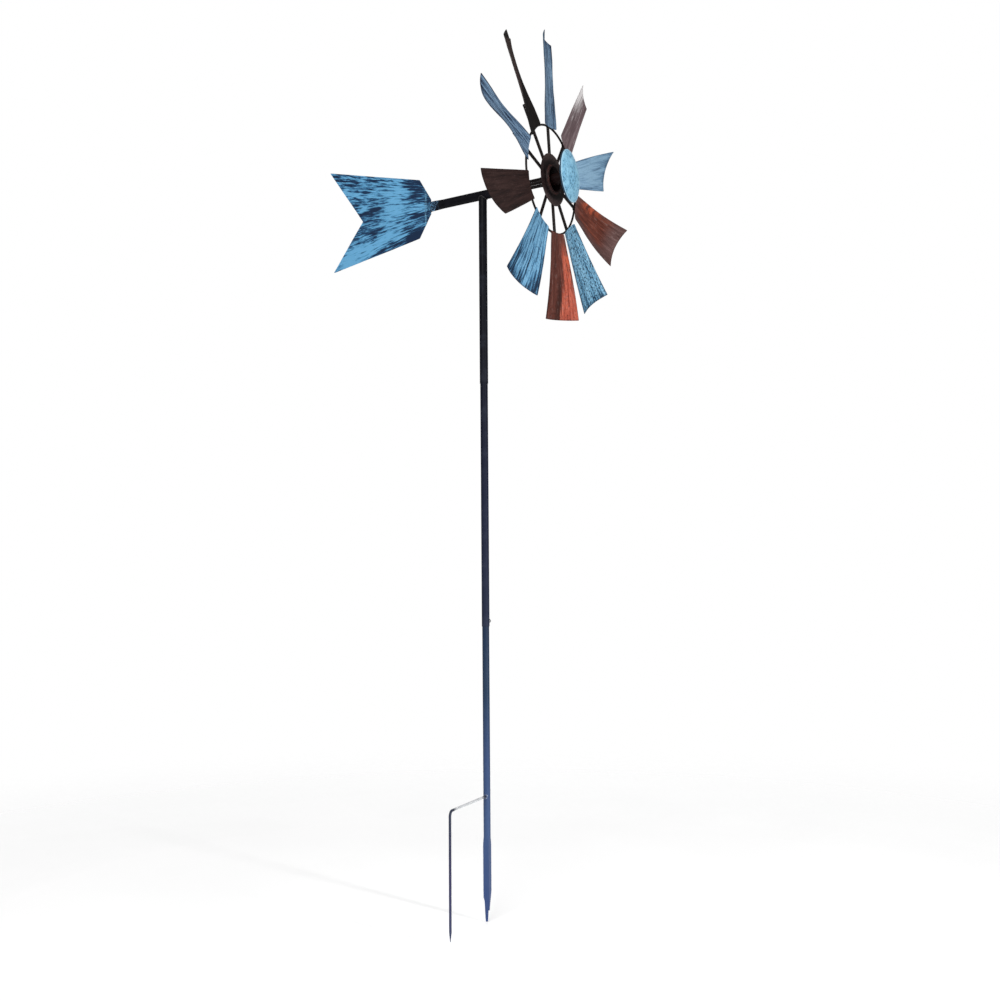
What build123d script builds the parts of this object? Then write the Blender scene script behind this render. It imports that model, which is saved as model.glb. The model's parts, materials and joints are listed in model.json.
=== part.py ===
from build123d import *
from math import asin, cos, degrees, pi, radians, sin, sqrt
import os

# Garden wind spinner. Millimetres. The origin is on the mast axis at ground level.
# +Z runs up the mast and +X runs forward along the boom, from the tail to the wheel.

# Mast: three slip-fit tubes, each fitting inside the one above it
BOOM_HEIGHT = 1010.0
HEAD_JOINT_HEIGHT = 685.0
LOWER_JOINT_HEIGHT = 280.0
STAKE_DEPTH = 190.0
HEAD_TUBE_DIAMETER = 14.0
MIDDLE_TUBE_DIAMETER = 12.7
LOWER_TUBE_DIAMETER = 11.4
TUBE_WALL = 0.6
LOWER_JOINT_OVERLAP = 60.0
MIDDLE_TUBE_TOP = 960.0

# Stake: the lower tube pressed into a right-angled blade, and a bent rod beside it
STAKE_TURN = 6.0
SPIKE_TOP = -64.0
SPIKE_CRUSH_LENGTH = 8.0
SPIKE_LEG_WIDTH = 9.2
SPIKE_THICKNESS = 1.4
SPIKE_CORNER_X = 3.4
SPIKE_CORNER_Y = -2.6
BROAD_LEG_SHOULDER = -153.0
BROAD_LEG_STEP_HEIGHT = 4.0
BROAD_LEG_STEP_WIDTH = 1.8
BROAD_LEG_TIP_OUTSIDE = 5.5
BROAD_LEG_TIP_INSIDE = 1.7
SIDE_LEG_SHOULDER = -144.0
SIDE_LEG_TIP = -172.5
SIDE_LEG_TIP_WIDTH = 1.4
PRONG_DIAMETER = 4.0
PRONG_HEIGHT = 7.0
PRONG_REACH = 135.0
PRONG_BEND_RADIUS = 8.0
PRONG_DEPTH = 184.0
PRONG_POINT_LENGTH = 14.0
PRONG_POINT_DIAMETER = 0.8

# Joint screw through the middle and lower tubes
SCREW_RISE = 9.0
SCREW_TURN = 30.0
SCREW_DIAMETER = 3.5
SCREW_HEAD_DIAMETER = 7.0
SCREW_HEAD_HEIGHT = 2.2
SCREW_SLOT_WIDTH = 0.9
SCREW_SLOT_DEPTH = 0.8

# Yaw pivot inside the head tube
BALL_DIAMETER = 8.0
BALL_SEAT_DEPTH = 2.5
THRUST_PLUG_LENGTH = 22.0
PIVOT_PLUG_LENGTH = 25.0
BALL_GAP = 0.1

# Boom and tail
BOOM_DIAMETER = 15.5
BOOM_WALL = 0.9
BOOM_REAR = -104.0
BOOM_FRONT = 112.0
TAIL_THICKNESS = 1.0
TAIL_FRONT = -105.0
TAIL_FRONT_HEIGHT = 26.0
TAIL_SHOULDER = -129.0
TAIL_SHOULDER_HALF_HEIGHT = 53.0
TAIL_TOP_TIP = (-328.0, 106.0)
TAIL_BOTTOM_TIP = (-319.0, -85.0)
TAIL_NOTCH = -253.0
TAIL_TAB_FRONT = -90.0

# Axle: a long bolt held by a plug in the front of the boom
AXLE_DIAMETER = 8.0
AXLE_REAR = 88.0
AXLE_PLUG_LENGTH = 22.0
WASHER_DIAMETER = 16.0
WASHER_THICKNESS = 1.5
RUNNING_GAP = 0.3
NUT_ACROSS_FLATS = 13.0
NUT_HEIGHT = 6.5
AXLE_PROUD_OF_NUT = 1.2

# Wheel hub
RUNNING_CLEARANCE = 0.05
BUSH_FLANGE_THICKNESS = 1.2
BUSH_FLANGE_DIAMETER = 16.0
BUSH_BODY_DIAMETER = 13.0
BUSH_BODY_LENGTH = 10.0
SLEEVE_DIAMETER = 18.0
SLEEVE_FRONT = 158.8
DISH_RADIUS = 42.8
DISH_THICKNESS = 1.0
DISH_RIDGE_RADIUS = 23.0
DISH_RIDGE_HEIGHT = 4.0
DISH_RIDGE_HALF_WIDTH = 2.2
DISH_FLOOR_RADIUS = 16.0
DISH_FLOOR_DEPTH = 8.5
DISH_BEND_RADIUS = 1.5
CAP_RIM = 165.7
CAP_RADIUS = 42.4
CAP_RISE = 10.0
CAP_THICKNESS = 0.8
CAP_TILT = 5.5
SOCKET_WALL = 1.0
SOCKET_REAR = 150.0

# Wheel: ten spokes, ten arcs of hoop between them, and ten twisted blades in front
BLADE_COUNT = 10
FIRST_BLADE_ANGLE = -76.9
SPOKE_DIAMETER = 5.0
SPOKE_PLANE = 130.55
SPOKE_START = 30.0
SPOKE_END = 130.0
HOOP_ROD_DIAMETER = 3.5
HOOP_PLANE = 131.25
HOOP_RADIUS = 88.0
BLADE_THICKNESS = 0.8
BLADE_ROOT_RADIUS = 86.5
BLADE_TIP_RADIUS = 232.5
BLADE_ROOT_WIDTH = 44.5
BLADE_ROOT_PITCH = 1.5
BLADE_ROOT_CURL_RADIUS = 90.0
WELD_GAP = 0.03
BLADE_SECTIONS = 22

# How each blade was set and formed by hand: extra angle round the wheel, tip width, tip pitch,
# extra twist half-way, forward lean of the tip, extra reach and curl radius at the tip
BLADE_FORMS = [
    (1.5, 58, 17, 12, 0, 5, 90),
    (-4, 71, 27, 8, 4, 5, 100),
    (-1.5, 68, 18, 4, 0, 0, 90),
    (1, 48, 15, 0, 3, -8, 90),
    (0, 72, 27, 0, 0, 0, 90),
    (0, 74, 22, 0, 13, -2, 90),
    (1, 72, 17, 0, 2, -5, 90),
    (-2, 74, 22, 0, -5, -2, 90),
    (-2, 73, 16, 0, -5, -3, 90),
    (-1, 75, 20, 0, 2, 0, 90),
]

BLADE_STEP = 360.0 / BLADE_COUNT
ALONG_BOOM = Plane(origin=(0, 0, BOOM_HEIGHT), x_dir=(0, 1, 0), z_dir=(1, 0, 0))


def tube_up(outer_diameter, inner_diameter, bottom, top):
    """Upright tube on the mast axis."""
    height = top - bottom
    outside = Cylinder(outer_diameter / 2, height, align=(Align.CENTER, Align.CENTER, Align.MIN))
    bore = Cylinder(inner_diameter / 2, height, align=(Align.CENTER, Align.CENTER, Align.MIN))
    return Pos(0, 0, bottom) * (outside - bore)


def rod_up(diameter, bottom, top):
    """Upright solid rod on the mast axis."""
    rod = Cylinder(diameter / 2, top - bottom, align=(Align.CENTER, Align.CENTER, Align.MIN))
    return Pos(0, 0, bottom) * rod


def rod_along(diameter, rear, front):
    """Solid rod on the boom axis."""
    rod = Cylinder(diameter / 2, front - rear, align=(Align.CENTER, Align.CENTER, Align.MIN))
    return ALONG_BOOM.location * Pos(0, 0, rear) * rod


def tube_along(outer_diameter, inner_diameter, rear, front):
    """Tube on the boom axis."""
    return rod_along(outer_diameter, rear, front) - rod_along(inner_diameter, rear, front)


def joint_screw_place():
    """Where the joint screw's head sits on the middle tube, pointing outwards."""
    height = LOWER_JOINT_HEIGHT + SCREW_RISE
    return Pos(0, 0, height) * Rot(0, 0, SCREW_TURN) * Pos(MIDDLE_TUBE_DIAMETER / 2, 0, 0) * Rot(0, 90, 0)


def screw_hole():
    """The round hole that the joint screw passes through."""
    depth = MIDDLE_TUBE_DIAMETER / 2
    return joint_screw_place() * Pos(0, 0, -depth / 2) * Cylinder(SCREW_DIAMETER / 2, depth)


def make_spike_leg(lower_edge):
    """One leg of the pressed blade, in its own plane, down to the given lower edge."""
    outline = Polyline((0, SPIKE_TOP), (SPIKE_LEG_WIDTH, SPIKE_TOP), *lower_edge, close=True)
    return extrude(Plane.XZ * make_face(outline), SPIKE_THICKNESS / 2, both=True)


def make_broad_leg():
    """The long leg: a short shoulder above a narrow end with a blunt tip."""
    step_bottom = BROAD_LEG_SHOULDER - BROAD_LEG_STEP_HEIGHT
    lower_edge = [
        (SPIKE_LEG_WIDTH, BROAD_LEG_SHOULDER),
        (SPIKE_LEG_WIDTH - BROAD_LEG_STEP_WIDTH, step_bottom),
        (BROAD_LEG_TIP_OUTSIDE, -STAKE_DEPTH),
        (BROAD_LEG_TIP_INSIDE, -STAKE_DEPTH),
        (0, step_bottom),
    ]
    return Rot(0, 0, 180) * make_spike_leg(lower_edge)


def make_side_leg():
    """The short leg, whose outer edge slants in to the corner of the blade."""
    lower_edge = [
        (SPIKE_LEG_WIDTH, SIDE_LEG_SHOULDER),
        (SIDE_LEG_TIP_WIDTH, SIDE_LEG_TIP),
        (0, SIDE_LEG_TIP),
    ]
    return Rot(0, 0, 90) * make_spike_leg(lower_edge)


def make_lower_tube():
    """Lowest mast tube, with its bottom end pressed into a pointed right-angled blade."""
    bore = LOWER_TUBE_DIAMETER - 2 * TUBE_WALL
    tube = tube_up(LOWER_TUBE_DIAMETER, bore, SPIKE_TOP, LOWER_JOINT_HEIGHT + LOWER_JOINT_OVERLAP)
    half_crush = SPIKE_CRUSH_LENGTH / 2
    crushed_end = rod_up(LOWER_TUBE_DIAMETER, SPIKE_TOP - half_crush, SPIKE_TOP + half_crush)
    blade = Pos(SPIKE_CORNER_X, SPIKE_CORNER_Y, 0) * (make_broad_leg() + make_side_leg())
    return tube + crushed_end + Rot(0, 0, STAKE_TURN) * blade - screw_hole()


def make_prong():
    """Bent rod: a level step bar butted against the lower tube, then a pointed leg."""
    path = FilletPolyline(
        (0, 0, PRONG_HEIGHT),
        (0, -PRONG_REACH, PRONG_HEIGHT),
        (0, -PRONG_REACH, -PRONG_DEPTH + PRONG_POINT_LENGTH),
        radius=PRONG_BEND_RADIUS,
    )
    section = Plane(origin=(0, 0, PRONG_HEIGHT), z_dir=(0, -1, 0)) * Circle(PRONG_DIAMETER / 2)
    rod = sweep(section, path=path)
    point = Cone(
        PRONG_POINT_DIAMETER / 2,
        PRONG_DIAMETER / 2,
        PRONG_POINT_LENGTH,
        align=(Align.CENTER, Align.CENTER, Align.MIN),
    )
    rod = rod + Pos(0, -PRONG_REACH, -PRONG_DEPTH) * point
    rod = rod - rod_up(LOWER_TUBE_DIAMETER, -PRONG_DEPTH, LOWER_JOINT_HEIGHT)
    return Rot(0, 0, STAKE_TURN) * rod


def make_middle_tube():
    """Middle mast tube, over the lower tube and up inside the head tube."""
    bore = MIDDLE_TUBE_DIAMETER - 2 * TUBE_WALL
    return tube_up(MIDDLE_TUBE_DIAMETER, bore, LOWER_JOINT_HEIGHT, MIDDLE_TUBE_TOP) - screw_hole()


def make_joint_screw():
    """Slotted round-head screw that pins the middle tube to the lower tube."""
    dome_radius = (SCREW_HEAD_DIAMETER ** 2 / 4 + SCREW_HEAD_HEIGHT ** 2) / (2 * SCREW_HEAD_HEIGHT)
    dome = Pos(0, 0, SCREW_HEAD_HEIGHT - dome_radius) * Sphere(dome_radius)
    above_tube = Cylinder(
        SCREW_HEAD_DIAMETER / 2, SCREW_HEAD_HEIGHT, align=(Align.CENTER, Align.CENTER, Align.MIN)
    )
    slot = Box(SCREW_HEAD_DIAMETER, SCREW_SLOT_WIDTH, 2 * SCREW_SLOT_DEPTH)
    head = dome & above_tube
    head = head - Pos(0, 0, SCREW_HEAD_HEIGHT) * slot
    shank_length = MIDDLE_TUBE_DIAMETER / 2
    shank = Pos(0, 0, -shank_length / 2) * Cylinder(SCREW_DIAMETER / 2, shank_length)
    return joint_screw_place() * (head + shank)


def make_thrust_plug():
    """Steel plug in the top of the middle tube, with a round seat for the ball."""
    bore = MIDDLE_TUBE_DIAMETER - 2 * TUBE_WALL
    plug = rod_up(bore, MIDDLE_TUBE_TOP - THRUST_PLUG_LENGTH, MIDDLE_TUBE_TOP)
    return plug - make_thrust_ball()


def make_thrust_ball():
    """Steel ball that carries the head's weight on the mast."""
    centre = MIDDLE_TUBE_TOP - BALL_SEAT_DEPTH + BALL_DIAMETER / 2
    return Pos(0, 0, centre) * Sphere(BALL_DIAMETER / 2)


def make_pivot_plug():
    """Steel plug in the head tube that rests on the ball."""
    bottom = MIDDLE_TUBE_TOP - BALL_SEAT_DEPTH + BALL_DIAMETER + BALL_GAP
    return rod_up(HEAD_TUBE_DIAMETER - 2 * TUBE_WALL, bottom, bottom + PIVOT_PLUG_LENGTH)


def make_head_tube():
    """Upper mast tube, saddle-cut to the boom; it turns on the middle tube."""
    bore = HEAD_TUBE_DIAMETER - 2 * TUBE_WALL
    tube = tube_up(HEAD_TUBE_DIAMETER, bore, HEAD_JOINT_HEIGHT, BOOM_HEIGHT)
    return tube - rod_along(BOOM_DIAMETER, -BOOM_DIAMETER, BOOM_DIAMETER)


def make_boom():
    """Level tube that carries the wheel and the tail, slotted at the rear for the tail's tab."""
    tube = tube_along(BOOM_DIAMETER, BOOM_DIAMETER - 2 * BOOM_WALL, BOOM_REAR, BOOM_FRONT)
    slot_length = TAIL_TAB_FRONT - BOOM_REAR
    slot = Box(slot_length, TAIL_THICKNESS, BOOM_DIAMETER, align=(Align.MIN, Align.CENTER, Align.CENTER))
    return tube - Pos(BOOM_REAR, 0, BOOM_HEIGHT) * slot


def make_tail_plate():
    """Flat sheet tail with a swallow-tail notch behind and a tab in the boom's slot."""
    outline = Polyline(
        (TAIL_TAB_FRONT, BOOM_DIAMETER / 2),
        (BOOM_REAR, BOOM_DIAMETER / 2),
        (TAIL_FRONT, TAIL_FRONT_HEIGHT / 2),
        (TAIL_SHOULDER, TAIL_SHOULDER_HALF_HEIGHT),
        TAIL_TOP_TIP,
        (TAIL_NOTCH, 0),
        TAIL_BOTTOM_TIP,
        (TAIL_SHOULDER, -TAIL_SHOULDER_HALF_HEIGHT),
        (TAIL_FRONT, -TAIL_FRONT_HEIGHT / 2),
        (BOOM_REAR, -BOOM_DIAMETER / 2),
        (TAIL_TAB_FRONT, -BOOM_DIAMETER / 2),
        close=True,
    )
    plate = extrude(Plane.XZ * make_face(outline), TAIL_THICKNESS / 2, both=True)
    return Pos(0, 0, BOOM_HEIGHT) * plate


def make_axle_plug():
    """Plug in the front of the boom that grips the axle."""
    bore = BOOM_DIAMETER - 2 * BOOM_WALL
    return tube_along(bore, AXLE_DIAMETER, BOOM_FRONT - AXLE_PLUG_LENGTH, BOOM_FRONT)


def make_axle():
    """Plain round axle from the boom's plug to just past the nut."""
    return rod_along(AXLE_DIAMETER, AXLE_REAR, nut_rear() + NUT_HEIGHT + AXLE_PROUD_OF_NUT)


def hub_rear():
    """Rear face of the hub's rear bush."""
    return BOOM_FRONT + WASHER_THICKNESS + RUNNING_GAP


def nut_rear():
    """Rear face of the axle nut, behind the front washer."""
    return SLEEVE_FRONT + BUSH_FLANGE_THICKNESS + RUNNING_GAP + WASHER_THICKNESS


def make_washer(rear):
    """Flat washer on the axle."""
    return tube_along(WASHER_DIAMETER, AXLE_DIAMETER, rear, rear + WASHER_THICKNESS)


def make_axle_nut():
    """Hexagon lock nut on the front of the axle, inside the cap."""
    corner_radius = NUT_ACROSS_FLATS / sqrt(3)
    hexagon = extrude(RegularPolygon(corner_radius, 6), NUT_HEIGHT)
    nut = ALONG_BOOM.location * Pos(0, 0, nut_rear()) * hexagon
    return nut - rod_along(AXLE_DIAMETER, nut_rear(), nut_rear() + NUT_HEIGHT)


def make_bush(flange_rear, body_rear):
    """Flanged plastic bush that turns on the axle."""
    flange = rod_along(BUSH_FLANGE_DIAMETER, flange_rear, flange_rear + BUSH_FLANGE_THICKNESS)
    body = rod_along(BUSH_BODY_DIAMETER, body_rear, body_rear + BUSH_BODY_LENGTH)
    bore = rod_along(AXLE_DIAMETER + 2 * RUNNING_CLEARANCE, hub_rear(), nut_rear())
    return flange + body - bore


def make_hub_sleeve():
    """Tube that joins the dish, the bushes and the cap."""
    return tube_along(
        SLEEVE_DIAMETER, BUSH_BODY_DIAMETER, hub_rear() + BUSH_FLANGE_THICKNESS, SLEEVE_FRONT
    )


def turned(profile):
    """Turn a profile about the boom axis. Its X runs along the boom and its Y is the radius."""
    return Pos(0, 0, BOOM_HEIGHT) * revolve(Plane.XZ * profile, Axis.X)


def make_hub_dish():
    """Pressed dish: a flat flange in front of the spokes, a raised ridge and a sunken middle."""
    flange = SPOKE_PLANE + SPOKE_DIAMETER / 2 + DISH_THICKNESS / 2
    floor = flange - DISH_FLOOR_DEPTH
    middle_line = FilletPolyline(
        (floor, SLEEVE_DIAMETER / 2 + DISH_THICKNESS / 2),
        (floor, DISH_FLOOR_RADIUS),
        (flange + DISH_RIDGE_HEIGHT, DISH_RIDGE_RADIUS - DISH_RIDGE_HALF_WIDTH),
        (flange + DISH_RIDGE_HEIGHT, DISH_RIDGE_RADIUS),
        (flange, DISH_RIDGE_RADIUS + DISH_RIDGE_HALF_WIDTH),
        (flange, DISH_RADIUS - DISH_THICKNESS / 2),
        radius=DISH_BEND_RADIUS / 2,
    )
    dish = turned(make_face(offset(middle_line, DISH_THICKNESS / 2)))
    return dish - rod_along(SLEEVE_DIAMETER, floor - DISH_BEND_RADIUS, flange)


def arc_band(centre, outer_radius, thickness, start, sweep_angle):
    """Face between two arcs about one centre, with straight ends."""
    outer = CenterArc(centre, outer_radius, start, sweep_angle)
    inner = CenterArc(centre, outer_radius - thickness, start, sweep_angle)
    return make_face([outer, inner, Line(outer @ 0, inner @ 0), Line(outer @ 1, inner @ 1)])


def cap_dome_radius():
    """Radius of the cap's outer sphere."""
    return (CAP_RADIUS ** 2 + CAP_RISE ** 2) / (2 * CAP_RISE)


def cap_dome_centre():
    """Where the centre of the cap's sphere lies along the boom."""
    return CAP_RIM + CAP_RISE - cap_dome_radius()


def tilt_cap(piece):
    """Turn a piece with the cap, which sits a little askew on the sleeve."""
    return Pos(CAP_RIM, 0, 0) * Rot(0, 0, CAP_TILT) * Pos(-CAP_RIM, 0, 0) * piece


def make_cap():
    """Shallow domed cap in front of the hub."""
    edge_angle = degrees(asin(CAP_RADIUS / cap_dome_radius()))
    band = arc_band((cap_dome_centre(), 0), cap_dome_radius(), CAP_THICKNESS, 0, edge_angle)
    return tilt_cap(turned(band))


def make_cap_socket():
    """Short tube under the cap that pushes onto the hub sleeve and covers the nut."""
    tube = tube_along(
        SLEEVE_DIAMETER + 2 * SOCKET_WALL, SLEEVE_DIAMETER, SOCKET_REAR, CAP_RIM + CAP_RISE
    )
    inside_dome = Pos(cap_dome_centre(), 0, BOOM_HEIGHT) * Sphere(cap_dome_radius() - CAP_THICKNESS)
    return tube & tilt_cap(inside_dome)


def on_wheel(piece, angle):
    """Turn a piece made pointing up to its clockwise place, seen from the front."""
    return Pos(0, 0, BOOM_HEIGHT) * Rot(-angle, 0, 0) * piece


def make_spoke():
    """Straight rod from the hub dish to behind the blade, pointing up."""
    length = SPOKE_END - SPOKE_START
    rod = Cylinder(SPOKE_DIAMETER / 2, length, align=(Align.CENTER, Align.CENTER, Align.MIN))
    return Pos(SPOKE_PLANE, 0, SPOKE_START) * rod


def blade_angle(number):
    """Clockwise angle of a numbered blade and its spoke."""
    return FIRST_BLADE_ANGLE + (number - 1) * BLADE_STEP + BLADE_FORMS[number - 1][0]


def make_hoop_arc(span):
    """Arc of hoop rod from the spoke that points up to the next one, span degrees clockwise."""
    rod_radius = HOOP_ROD_DIAMETER / 2
    end_angle = degrees(asin((SPOKE_DIAMETER / 2 + WELD_GAP) / (HOOP_RADIUS - rod_radius)))
    section = Plane.XZ * Pos(HOOP_PLANE, HOOP_RADIUS) * Circle(rod_radius)
    next_end = Rot(end_angle - span, 0, 0) * section
    return revolve(next_end, Axis.X, span - 2 * end_angle)


def blade_section(share, form):
    """Curled section of a blade at a share of its length from root to tip."""
    _, tip_width, tip_pitch, middle_twist, tip_lean, extra_reach, tip_curl_radius = form
    radius = BLADE_ROOT_RADIUS + share * (BLADE_TIP_RADIUS + extra_reach - BLADE_ROOT_RADIUS)
    width = BLADE_ROOT_WIDTH + share * (tip_width - BLADE_ROOT_WIDTH)
    curl_radius = BLADE_ROOT_CURL_RADIUS + share * (tip_curl_radius - BLADE_ROOT_CURL_RADIUS)
    steady_pitch = BLADE_ROOT_PITCH + share * (tip_pitch - BLADE_ROOT_PITCH)
    pitch = radians(steady_pitch + middle_twist * sin(pi * share) ** 2)
    past_spoke = max(0, radius - SPOKE_END) / (BLADE_TIP_RADIUS - SPOKE_END)
    seat = SPOKE_PLANE + (SPOKE_DIAMETER / 2 + WELD_GAP) / cos(pitch) + tip_lean * past_spoke ** 2
    half_angle = degrees(asin(width / 2 / curl_radius))
    section = arc_band((0, -curl_radius), curl_radius, BLADE_THICKNESS, 90 - half_angle, 2 * half_angle)
    plane = Plane(origin=(seat, 0, radius), x_dir=(-sin(pitch), cos(pitch), 0), z_dir=(0, 0, 1))
    return plane * section


def make_blade(form):
    """Twisted, curled sheet blade that points up, with its middle line on its spoke."""
    shares = [index / (BLADE_SECTIONS - 1) for index in range(BLADE_SECTIONS)]
    return loft([blade_section(share, form) for share in shares])


def make_parts():
    """Every sub-part by its node name."""
    parts = {
        "lower_tube": make_lower_tube(),
        "prong": make_prong(),
        "middle_tube": make_middle_tube(),
        "joint_screw": make_joint_screw(),
        "thrust_plug": make_thrust_plug(),
        "thrust_ball": make_thrust_ball(),
        "head_tube": make_head_tube(),
        "pivot_plug": make_pivot_plug(),
        "boom": make_boom(),
        "tail_plate": make_tail_plate(),
        "axle_plug": make_axle_plug(),
        "axle": make_axle(),
        "rear_washer": make_washer(BOOM_FRONT),
        "front_washer": make_washer(nut_rear() - WASHER_THICKNESS),
        "axle_nut": make_axle_nut(),
        "rear_bush": make_bush(hub_rear(), hub_rear() + BUSH_FLANGE_THICKNESS),
        "front_bush": make_bush(SLEEVE_FRONT, SLEEVE_FRONT - BUSH_BODY_LENGTH),
        "hub_sleeve": make_hub_sleeve(),
        "hub_dish": make_hub_dish(),
        "cap": make_cap(),
        "cap_socket": make_cap_socket(),
    }
    for number in range(1, BLADE_COUNT + 1):
        angle = blade_angle(number)
        next_angle = blade_angle(number % BLADE_COUNT + 1)
        parts[f"spoke_{number:02d}"] = on_wheel(make_spoke(), angle)
        parts[f"hoop_arc_{number:02d}"] = on_wheel(make_hoop_arc((next_angle - angle) % 360), angle)
        parts[f"blade_{number:02d}"] = on_wheel(make_blade(BLADE_FORMS[number - 1]), angle)
    return parts


os.makedirs("parts", exist_ok=True)
for node, shape in make_parts().items():
    export_step(shape, f"parts/{node}.step")
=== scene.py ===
import json
import math
from functools import cached_property

import bmesh
import bpy
from mathutils import Matrix, Vector, noise


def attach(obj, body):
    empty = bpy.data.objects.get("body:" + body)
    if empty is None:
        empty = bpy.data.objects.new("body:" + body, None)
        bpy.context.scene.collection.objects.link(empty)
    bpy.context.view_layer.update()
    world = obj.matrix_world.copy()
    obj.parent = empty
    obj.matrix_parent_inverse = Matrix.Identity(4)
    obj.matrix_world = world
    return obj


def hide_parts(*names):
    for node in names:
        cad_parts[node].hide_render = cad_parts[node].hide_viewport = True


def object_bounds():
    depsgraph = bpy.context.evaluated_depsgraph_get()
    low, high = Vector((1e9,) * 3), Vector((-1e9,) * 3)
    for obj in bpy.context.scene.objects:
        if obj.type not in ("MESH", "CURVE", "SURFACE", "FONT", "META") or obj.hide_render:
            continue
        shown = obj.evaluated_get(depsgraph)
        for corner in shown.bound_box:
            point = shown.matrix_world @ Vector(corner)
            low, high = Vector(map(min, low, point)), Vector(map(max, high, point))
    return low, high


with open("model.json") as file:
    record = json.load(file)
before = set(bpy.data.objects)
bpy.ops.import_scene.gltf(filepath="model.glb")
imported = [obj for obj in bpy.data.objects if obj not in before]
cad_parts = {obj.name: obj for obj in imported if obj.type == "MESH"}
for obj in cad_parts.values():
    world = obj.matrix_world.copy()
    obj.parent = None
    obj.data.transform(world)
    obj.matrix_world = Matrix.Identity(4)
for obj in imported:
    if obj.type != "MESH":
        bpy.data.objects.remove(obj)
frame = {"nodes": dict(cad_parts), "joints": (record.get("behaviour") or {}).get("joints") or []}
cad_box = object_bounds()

MM = 0.001
WHEEL_CENTRE = Vector(next(j["pos_m"] for j in frame["joints"] if j["name"] == "wheel_spin"))
BOOM_HEIGHT = WHEEL_CENTRE.z

# Wheel, in metres from its centre
BLADE_COUNT = 10
BLADE_STEP = math.radians(360 / BLADE_COUNT)
FIRST_BLADE_ANGLE = math.radians(-76.9)
SPOKE_RADIUS = 2.5 * MM
SPOKE_PLANE = -0.75 * MM
HOOP_RADIUS = 88 * MM
SPOKE_START = 30 * MM
SPOKE_END = 130 * MM
DISH_RADIUS = 42.8 * MM
BLADE_THICKNESS = 0.8 * MM
BLADE_ROOT_RADIUS = 86.5 * MM
BLADE_TIP_RADIUS = 232.5 * MM
BLADE_ROOT_WIDTH = 44.5 * MM
BLADE_ROOT_PITCH = 1.5
BLADE_ROOT_CURL_RADIUS = 90 * MM
BLADE_ROOT_CORNER = 2.5 * MM
BLADE_TIP_CORNER = 0.9 * MM
WELD_GAP = 0.03 * MM

# How each blade was set and formed by hand: extra angle round the wheel, tip width, tip pitch,
# extra twist half-way, forward lean of the tip, extra reach and curl radius at the tip
BLADE_FORMS = [
    (1.5, 58, 17, 12, 0, 5, 90),
    (-4, 71, 27, 8, 4, 5, 100),
    (-1.5, 68, 18, 4, 0, 0, 90),
    (1, 48, 15, 0, 3, -8, 90),
    (0, 72, 27, 0, 0, 0, 90),
    (0, 74, 22, 0, 13, -2, 90),
    (1, 72, 17, 0, 2, -5, 90),
    (-2, 74, 22, 0, -5, -2, 90),
    (-2, 73, 16, 0, -5, -3, 90),
    (-1, 75, 20, 0, 2, 0, 90),
]

# Cap, in metres along the boom and from its axis
CAP_RIM = 165.7 * MM
CAP_RADIUS = 42.4 * MM
CAP_RISE = 10 * MM
CAP_THICKNESS = 0.8 * MM
CAP_SKIRT = 2.2 * MM
CAP_TILT = math.radians(5.5)
CAP_SIDES = 144

# Boom, head tube and tail
BOOM_RADIUS = 7.75 * MM
BOOM_BORE_RADIUS = 6.85 * MM
BOOM_REAR = -104 * MM
BOOM_FRONT = 112 * MM
BOOM_SIDES = 64
PINCH_START = -78 * MM
PINCH_HALF_WIDTH = 1.9 * MM
PINCH_HALF_HEIGHT = 9 * MM
HEAD_TUBE_RADIUS = 7 * MM
TAIL_THICKNESS = 1 * MM
TAIL_TAB_FRONT = -90 * MM
TAIL_FRONT = -105 * MM
TAIL_FRONT_HALF = 13 * MM
TAIL_SHOULDER = -129 * MM
TAIL_SHOULDER_HALF = 53 * MM
TAIL_TOP_TIP = (-328 * MM, 106 * MM)
TAIL_BOTTOM_TIP = (-319 * MM, -85 * MM)
TAIL_NOTCH = -253 * MM
TAIL_CREASE = -116 * MM
TAIL_CELL = 4.5 * MM
CORNER_STEPS = 6

# Stake
STAKE_TURN = math.radians(6)
LOWER_TUBE_RADIUS = 5.7 * MM
LOWER_TUBE_TOP = 340 * MM
SPIKE_SHOULDER = -143 * MM
SPIKE_CORNER = Vector((3.4 * MM, -2.6 * MM, 0))
SPIKE_LEG = 9.2 * MM
SPIKE_THICKNESS = 1.4 * MM
STAKE_SIDES = 120
PRONG_HEIGHT = 7 * MM
PRONG_RADIUS = 2 * MM
GROUND_STAND = cad_box[0].z
FLOOR_RADIUS = 2.2
BEAD_SIDES = 14

# Camera, in metres and degrees
CAMERA_PLACE = Vector((0.901, -1.535, 0.328))
CAMERA_HEADING = math.radians(29.60)
CAMERA_PITCH = math.radians(5.15)
CAMERA_ROLL = math.radians(-0.468)
CAMERA_LENS = 38.73


def srgb(red, green, blue):
    """Scene-linear colour of an 8-bit display colour."""

    def channel(value):
        share = value / 255
        return share / 12.92 if share <= 0.04045 else ((share + 0.055) / 1.055) ** 2.4

    return (channel(red), channel(green), channel(blue), 1.0)


def smooth(share):
    """Smooth step from 0 to 1."""
    share = max(0.0, min(1.0, share))
    return share * share * (3 - 2 * share)


def between(first, second, share):
    return first + (second - first) * share


# --- materials ---


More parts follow.
